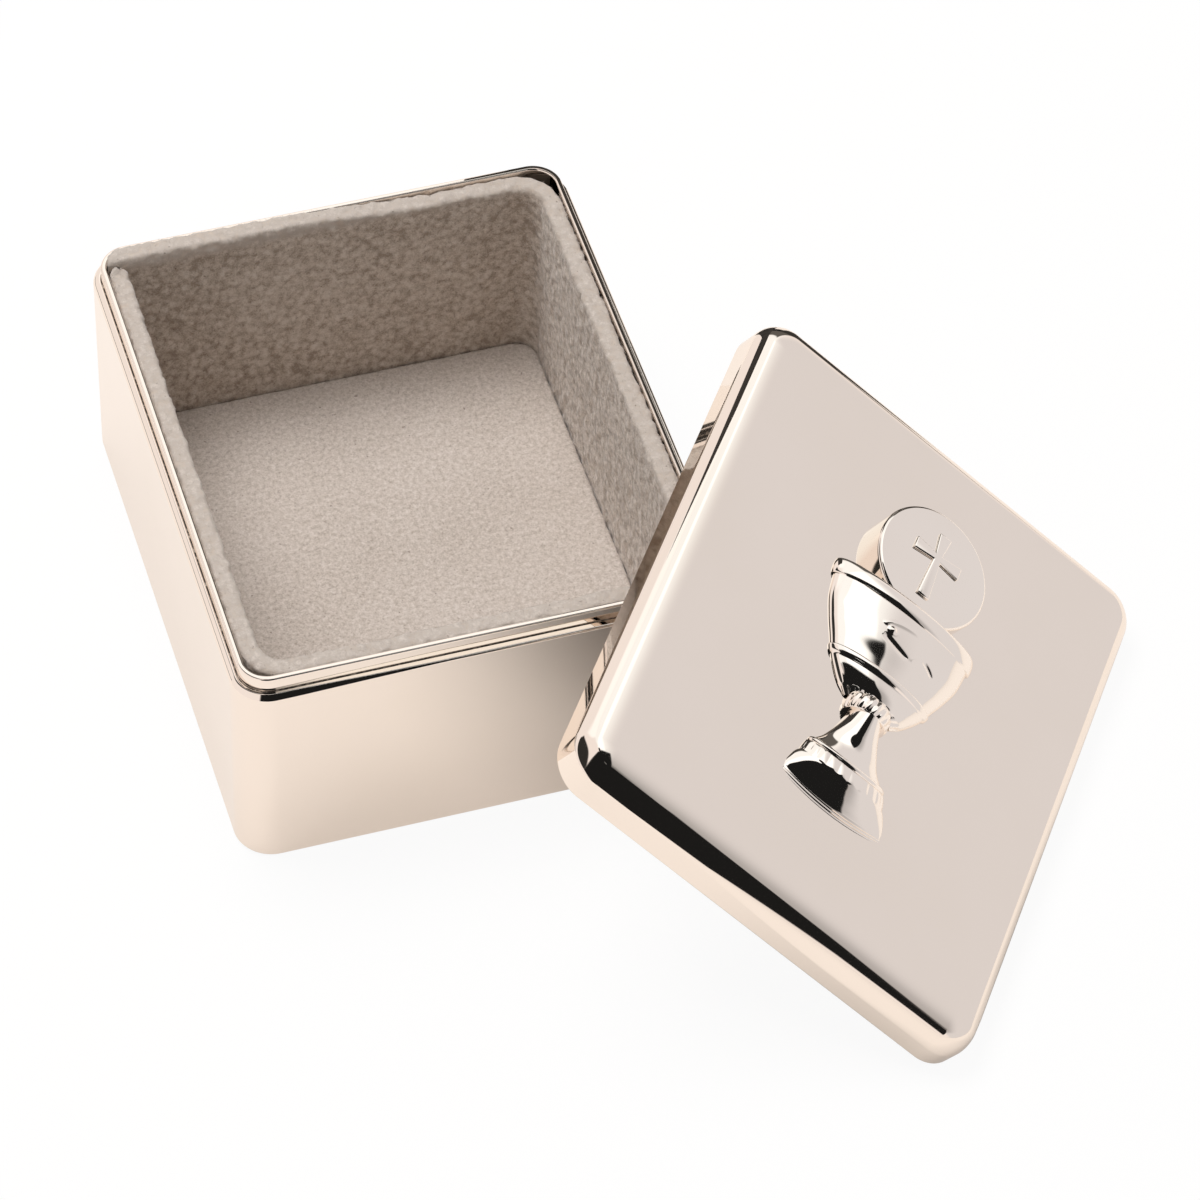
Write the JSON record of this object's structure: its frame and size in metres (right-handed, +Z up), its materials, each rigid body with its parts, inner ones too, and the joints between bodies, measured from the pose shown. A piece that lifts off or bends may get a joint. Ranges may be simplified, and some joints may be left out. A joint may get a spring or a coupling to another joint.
{
  "type": "communion keepsake box",
  "caption": "Small plated metal keepsake box with a raised neck and a flocked lining, and a loose lid with a chalice and host in relief that leans on its corner.",
  "frame": {"origin": "middle of the box's underside, on the table", "axes": "+Z up, +X to the right along the front of the box (its short side), +Y to the back"},
  "size_m": [0.0969, 0.1085, 0.0334],
  "materials": {
    "plated_metal": "mirror-bright silver plate on sheet steel",
    "plated_casting": "mirror-bright silver plate on a cast relief",
    "flocked_cloth": "short matt nap, warm grey, mottled",
    "lining_card": "matt grey board"
  },
  "bodies": {
    "base": {"base_shell": "plated_metal", "base_bottom": "plated_metal", "neck_collar": "plated_metal", "wall_card": "lining_card", "wall_lining": "flocked_cloth", "floor_card": "lining_card", "floor_lining": "flocked_cloth"},
    "lid": {"lid_shell": "plated_metal", "lid_card": "lining_card", "lid_lining": "flocked_cloth", "chalice": "plated_casting", "host": "plated_casting"}
  },
  "joints": [
    {"name": "lid_lift", "type": "slide", "parent": "base", "child": "lid", "axis": [0, 0, 1], "range_m": [0, 0.045]}
  ]
}
